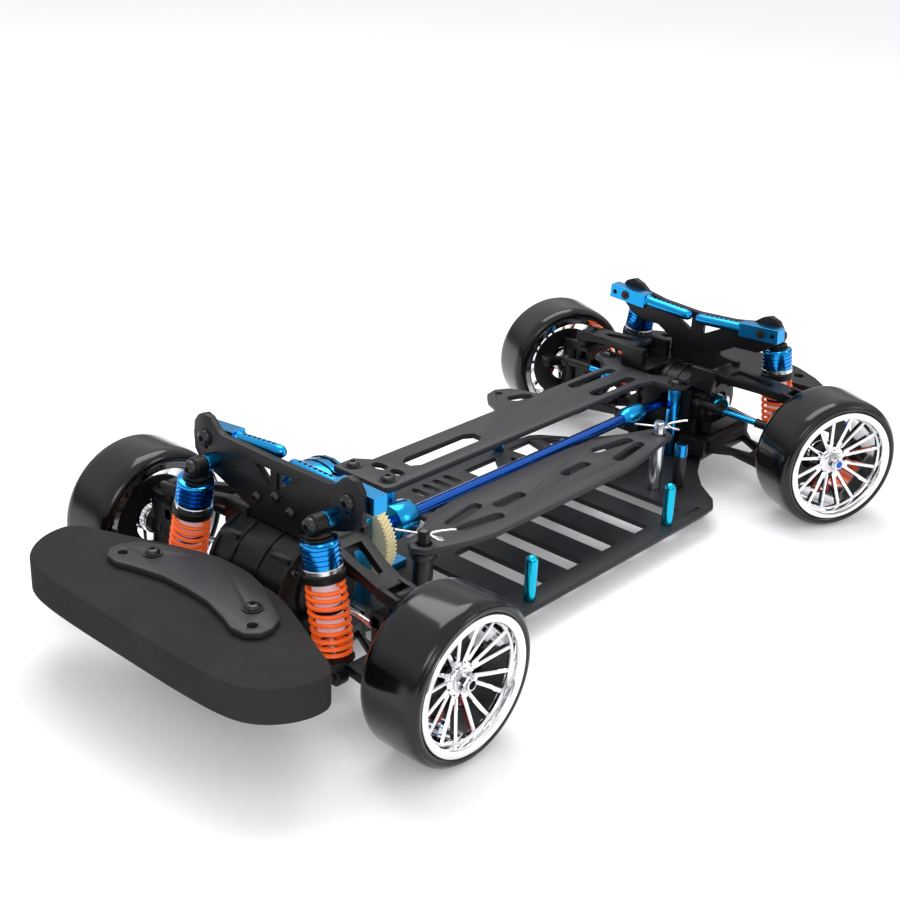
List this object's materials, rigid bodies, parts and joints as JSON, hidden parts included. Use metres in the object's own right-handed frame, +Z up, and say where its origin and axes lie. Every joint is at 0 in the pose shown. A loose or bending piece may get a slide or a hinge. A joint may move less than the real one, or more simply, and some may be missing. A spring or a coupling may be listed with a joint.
{
  "type": "radio control drift car chassis",
  "caption": "Shaft-driven radio control drift car without its body: carbon decks, foam bumper, double wishbones, coil-over shocks and chrome wheels on slick tyres.",
  "frame": {"origin": "on the ground under the middle of the car's outline", "axes": "+Z up, +X to the car's left side, -Y to its front"},
  "size_m": [0.2084, 0.391, 0.0883],
  "materials": {
    "carbon_plate": "carbon fibre plate, satin",
    "black_nylon": "moulded, satin",
    "charcoal_foam": "closed-cell foam, matt",
    "blue_anodised": "blue anodised",
    "deep_blue_anodised": "deep blue anodised",
    "cyan_anodised": "cyan anodised",
    "cream_nylon": "moulded, satin",
    "bright_steel": "bright",
    "chrome_plating": "mirror plated",
    "slick_tyre": "hard glossy slick",
    "orange_spring": "orange painted spring wire"
  },
  "bodies": {
    "chassis": {"chassis_plate": "carbon_plate", "top_deck": "carbon_plate", "battery_strap": "carbon_plate", "bumper_plate": "carbon_plate", "foam_bumper": "charcoal_foam", "rear_bumper": "black_nylon", "motor_mount": "blue_anodised", "rear_deck_post": "blue_anodised", "battery_post_front": "black_nylon", "battery_post_rear": "bright_steel", "battery_stop_front": "cyan_anodised", "battery_stop_rear": "cyan_anodised", "front_gearbox": "black_nylon", "rear_gearbox": "black_nylon", "front_shock_tower": "carbon_plate", "rear_shock_tower": "carbon_plate"},
    "drive_shaft": {"drive_shaft": "deep_blue_anodised", "spur_gear": "cream_nylon"},
    "front_differential": {"front_differential": "bright_steel"},
    "rear_differential": {"rear_differential": "bright_steel"},
    "lower_arm_front_left": {"lower_arm_front_left": "black_nylon"},
    "upper_arm_front_left": {"upper_arm_front_left": "black_nylon"},
    "hub_carrier_front_left": {"hub_carrier_front_left": "blue_anodised"},
    "knuckle_front_left": {"knuckle_front_left": "black_nylon"},
    "wheel_front_left": {"rim_front_left": "chrome_plating", "tyre_front_left": "slick_tyre"},
    "shock_front_left": {"shock_body_front_left": "blue_anodised", "spring_front_left": "orange_spring"},
    "shock_rod_front_left": {"shock_rod_front_left": "bright_steel"},
    "lower_arm_front_right": {"lower_arm_front_right": "black_nylon"},
    "upper_arm_front_right": {"upper_arm_front_right": "black_nylon"},
    "hub_carrier_front_right": {"hub_carrier_front_right": "blue_anodised"},
    "knuckle_front_right": {"knuckle_front_right": "black_nylon"},
    "wheel_front_right": {"rim_front_right": "chrome_plating", "tyre_front_right": "slick_tyre"},
    "shock_front_right": {"shock_body_front_right": "blue_anodised", "spring_front_right": "orange_spring"},
    "shock_rod_front_right": {"shock_rod_front_right": "bright_steel"},
    "lower_arm_rear_left": {"lower_arm_rear_left": "black_nylon"},
    "upper_arm_rear_left": {"upper_arm_rear_left": "black_nylon"},
    "hub_carrier_rear_left": {"hub_carrier_rear_left": "black_nylon"},
    "knuckle_rear_left": {"knuckle_rear_left": "black_nylon"},
    "wheel_rear_left": {"rim_rear_left": "chrome_plating", "tyre_rear_left": "slick_tyre"},
    "shock_rear_left": {"shock_body_rear_left": "blue_anodised", "spring_rear_left": "orange_spring"},
    "shock_rod_rear_left": {"shock_rod_rear_left": "bright_steel"},
    "lower_arm_rear_right": {"lower_arm_rear_right": "black_nylon"},
    "upper_arm_rear_right": {"upper_arm_rear_right": "black_nylon"},
    "hub_carrier_rear_right": {"hub_carrier_rear_right": "black_nylon"},
    "knuckle_rear_right": {"knuckle_rear_right": "black_nylon"},
    "wheel_rear_right": {"rim_rear_right": "chrome_plating", "tyre_rear_right": "slick_tyre"},
    "shock_rear_right": {"shock_body_rear_right": "blue_anodised", "spring_rear_right": "orange_spring"},
    "shock_rod_rear_right": {"shock_rod_rear_right": "bright_steel"},
    "body_post_front_left": {"body_post_front_left": "blue_anodised"},
    "body_post_front_right": {"body_post_front_right": "blue_anodised"},
    "body_post_rear_left": {"body_post_rear_left": "blue_anodised"},
    "body_post_rear_right": {"body_post_rear_right": "blue_anodised"}
  },
  "joints": [
    {"name": "drive_shaft_spin", "type": "hinge", "parent": "chassis", "child": "drive_shaft", "pos_m": [0, 0.0025, 0.0365], "axis": [0, 1, 0], "continuous": true},
    {"name": "front_differential_spin", "type": "hinge", "parent": "chassis", "child": "front_differential", "pos_m": [0, -0.1235, 0.0365], "axis": [1, 0, 0], "continuous": true},
    {"name": "rear_differential_spin", "type": "hinge", "parent": "chassis", "child": "rear_differential", "pos_m": [0, 0.1395, 0.0365], "axis": [1, 0, 0], "continuous": true},
    {"name": "suspension_front_left", "type": "hinge", "parent": "chassis", "child": "lower_arm_front_left", "pos_m": [0.023, -0.1235, 0.0195], "axis": [0, -1, 0], "range_deg": [-5, 7], "stiffness_Nm_per_rad": 4, "springref_deg": -0.86},
    {"name": "upper_arm_front_left_pivot", "type": "hinge", "parent": "chassis", "child": "upper_arm_front_left", "pos_m": [0.023, -0.1235, 0.0555], "axis": [0, -1, 0], "range_deg": [-5, 7]},
    {"name": "hub_carrier_front_left_pivot", "type": "hinge", "parent": "lower_arm_front_left", "child": "hub_carrier_front_left", "pos_m": [0.061, -0.1235, 0.0145], "axis": [0, -1, 0], "range_deg": [-7, 5]},
    {"name": "steering_front_left", "type": "hinge", "parent": "hub_carrier_front_left", "child": "knuckle_front_left", "pos_m": [0.07, -0.1235, 0.0305], "axis": [0, 0, 1], "range_deg": [-26, 26]},
    {"name": "wheel_front_left_spin", "type": "hinge", "parent": "knuckle_front_left", "child": "wheel_front_left", "pos_m": [0.07, -0.1235, 0.0305], "axis": [1, 0, 0], "continuous": true},
    {"name": "shock_front_left_pivot", "type": "hinge", "parent": "chassis", "child": "shock_front_left", "pos_m": [0.0315, -0.1361, 0.072], "axis": [0, -1, 0], "range_deg": [-0.63, 0.85]},
    {"name": "shock_front_left_travel", "type": "slide", "parent": "shock_front_left", "child": "shock_rod_front_left", "axis": [-0.1959, 0, 0.9806], "range_m": [-0.00174, 0.00239], "deforming": ["spring_front_left"]},
    {"name": "suspension_front_right", "type": "hinge", "parent": "chassis", "child": "lower_arm_front_right", "pos_m": [-0.023, -0.1235, 0.0195], "axis": [0, 1, 0], "range_deg": [-5, 7], "stiffness_Nm_per_rad": 4, "springref_deg": -0.86},
    {"name": "upper_arm_front_right_pivot", "type": "hinge", "parent": "chassis", "child": "upper_arm_front_right", "pos_m": [-0.023, -0.1235, 0.0555], "axis": [0, 1, 0], "range_deg": [-5, 7]},
    {"name": "hub_carrier_front_right_pivot", "type": "hinge", "parent": "lower_arm_front_right", "child": "hub_carrier_front_right", "pos_m": [-0.061, -0.1235, 0.0145], "axis": [0, 1, 0], "range_deg": [-7, 5]},
    {"name": "steering_front_right", "type": "hinge", "parent": "hub_carrier_front_right", "child": "knuckle_front_right", "pos_m": [-0.07, -0.1235, 0.0305], "axis": [0, 0, 1], "range_deg": [-26, 26]},
    {"name": "wheel_front_right_spin", "type": "hinge", "parent": "knuckle_front_right", "child": "wheel_front_right", "pos_m": [-0.07, -0.1235, 0.0305], "axis": [1, 0, 0], "continuous": true},
    {"name": "shock_front_right_pivot", "type": "hinge", "parent": "chassis", "child": "shock_front_right", "pos_m": [-0.0315, -0.1361, 0.072], "axis": [0, 1, 0], "range_deg": [-0.63, 0.85]},
    {"name": "shock_front_right_travel", "type": "slide", "parent": "shock_front_right", "child": "shock_rod_front_right", "axis": [0.1959, 0, 0.9806], "range_m": [-0.00174, 0.00239], "deforming": ["spring_front_right"]},
    {"name": "suspension_rear_left", "type": "hinge", "parent": "chassis", "child": "lower_arm_rear_left", "pos_m": [0.023, 0.1395, 0.0195], "axis": [0, -1, 0], "range_deg": [-5, 7], "stiffness_Nm_per_rad": 4, "springref_deg": -0.86},
    {"name": "upper_arm_rear_left_pivot", "type": "hinge", "parent": "chassis", "child": "upper_arm_rear_left", "pos_m": [0.023, 0.1395, 0.0555], "axis": [0, -1, 0], "range_deg": [-5, 7]},
    {"name": "hub_carrier_rear_left_pivot", "type": "hinge", "parent": "lower_arm_rear_left", "child": "hub_carrier_rear_left", "pos_m": [0.061, 0.1395, 0.0145], "axis": [0, -1, 0], "range_deg": [-7, 5]},
    {"name": "steering_rear_left", "type": "hinge", "parent": "hub_carrier_rear_left", "child": "knuckle_rear_left", "pos_m": [0.07, 0.1395, 0.0305], "axis": [0, 0, 1], "range_deg": [0, 52]},
    {"name": "wheel_rear_left_spin", "type": "hinge", "parent": "knuckle_rear_left", "child": "wheel_rear_left", "pos_m": [0.07, 0.1395, 0.0305], "axis": [0.8988, -0.4384, 0], "continuous": true},
    {"name": "shock_rear_left_pivot", "type": "hinge", "parent": "chassis", "child": "shock_rear_left", "pos_m": [0.038, 0.1545, 0.0715], "axis": [0, -1, 0], "range_deg": [-0.6, 0.8]},
    {"name": "shock_rear_left_travel", "type": "slide", "parent": "shock_rear_left", "child": "shock_rod_rear_left", "axis": [-0.1352, 0, 0.9908], "range_m": [-0.00202, 0.00279], "deforming": ["spring_rear_left"]},
    {"name": "suspension_rear_right", "type": "hinge", "parent": "chassis", "child": "lower_arm_rear_right", "pos_m": [-0.023, 0.1395, 0.0195], "axis": [0, 1, 0], "range_deg": [-5, 7], "stiffness_Nm_per_rad": 4, "springref_deg": -0.86},
    {"name": "upper_arm_rear_right_pivot", "type": "hinge", "parent": "chassis", "child": "upper_arm_rear_right", "pos_m": [-0.023, 0.1395, 0.0555], "axis": [0, 1, 0], "range_deg": [-5, 7]},
    {"name": "hub_carrier_rear_right_pivot", "type": "hinge", "parent": "lower_arm_rear_right", "child": "hub_carrier_rear_right", "pos_m": [-0.061, 0.1395, 0.0145], "axis": [0, 1, 0], "range_deg": [-7, 5]},
    {"name": "steering_rear_right", "type": "hinge", "parent": "hub_carrier_rear_right", "child": "knuckle_rear_right", "pos_m": [-0.07, 0.1395, 0.0305], "axis": [0, 0, 1], "range_deg": [0, 52]},
    {"name": "wheel_rear_right_spin", "type": "hinge", "parent": "knuckle_rear_right", "child": "wheel_rear_right", "pos_m": [-0.07, 0.1395, 0.0305], "axis": [0.8988, -0.4384, 0], "continuous": true},
    {"name": "shock_rear_right_pivot", "type": "hinge", "parent": "chassis", "child": "shock_rear_right", "pos_m": [-0.038, 0.1545, 0.0715], "axis": [0, 1, 0], "range_deg": [-0.6, 0.8]},
    {"name": "shock_rear_right_travel", "type": "slide", "parent": "shock_rear_right", "child": "shock_rod_rear_right", "axis": [0.1352, 0, 0.9908], "range_m": [-0.00202, 0.00279], "deforming": ["spring_rear_right"]},
    {"name": "body_post_front_left_fold", "type": "hinge", "parent": "chassis", "child": "body_post_front_left", "pos_m": [0.0375, -0.1208, 0.079], "axis": [0, 1, 0], "range_deg": [0, 90]},
    {"name": "body_post_front_right_fold", "type": "hinge", "parent": "chassis", "child": "body_post_front_right", "pos_m": [-0.0375, -0.1208, 0.079], "axis": [0, -1, 0], "range_deg": [0, 90]},
    {"name": "body_post_rear_left_fold", "type": "hinge", "parent": "chassis", "child": "body_post_rear_left", "pos_m": [0.0384, 0.1403, 0.077], "axis": [0, 1, 0], "range_deg": [0, 90]},
    {"name": "body_post_rear_right_fold", "type": "hinge", "parent": "chassis", "child": "body_post_rear_right", "pos_m": [-0.0384, 0.1403, 0.077], "axis": [0, -1, 0], "range_deg": [0, 90]}
  ],
  "couplings": [
    {"joint": "drive_shaft_spin", "follows": "wheel_front_left_spin", "ratio": 2.6},
    {"joint": "front_differential_spin", "follows": "wheel_front_left_spin", "ratio": 1},
    {"joint": "rear_differential_spin", "follows": "wheel_front_left_spin", "ratio": 1},
    {"joint": "upper_arm_front_left_pivot", "follows": "suspension_front_left", "ratio": 1},
    {"joint": "hub_carrier_front_left_pivot", "follows": "suspension_front_left", "ratio": -1},
    {"joint": "shock_front_left_pivot", "follows": "suspension_front_left", "ratio": 0.10599},
    {"joint": "shock_front_left_travel", "follows": "suspension_front_left", "m_per_rad": 0.018742},
    {"joint": "upper_arm_front_right_pivot", "follows": "suspension_front_right", "ratio": 1},
    {"joint": "hub_carrier_front_right_pivot", "follows": "suspension_front_right", "ratio": -1},
    {"joint": "steering_front_right", "follows": "steering_front_left", "ratio": 1},
    {"joint": "wheel_front_right_spin", "follows": "wheel_front_left_spin", "ratio": 1},
    {"joint": "shock_front_right_pivot", "follows": "suspension_front_right", "ratio": 0.10599},
    {"joint": "shock_front_right_travel", "follows": "suspension_front_right", "m_per_rad": 0.018742},
    {"joint": "upper_arm_rear_left_pivot", "follows": "suspension_rear_left", "ratio": 1},
    {"joint": "hub_carrier_rear_left_pivot", "follows": "suspension_rear_left", "ratio": -1},
    {"joint": "wheel_rear_left_spin", "follows": "wheel_front_left_spin", "ratio": 1},
    {"joint": "shock_rear_left_pivot", "follows": "suspension_rear_left", "ratio": 0.09941},
    {"joint": "shock_rear_left_travel", "follows": "suspension_rear_left", "m_per_rad": 0.022004},
    {"joint": "upper_arm_rear_right_pivot", "follows": "suspension_rear_right", "ratio": 1},
    {"joint": "hub_carrier_rear_right_pivot", "follows": "suspension_rear_right", "ratio": -1},
    {"joint": "steering_rear_right", "follows": "steering_rear_left", "ratio": 1},
    {"joint": "wheel_rear_right_spin", "follows": "wheel_front_left_spin", "ratio": 1},
    {"joint": "shock_rear_right_pivot", "follows": "suspension_rear_right", "ratio": 0.09941},
    {"joint": "shock_rear_right_travel", "follows": "suspension_rear_right", "m_per_rad": 0.022004}
  ]
}
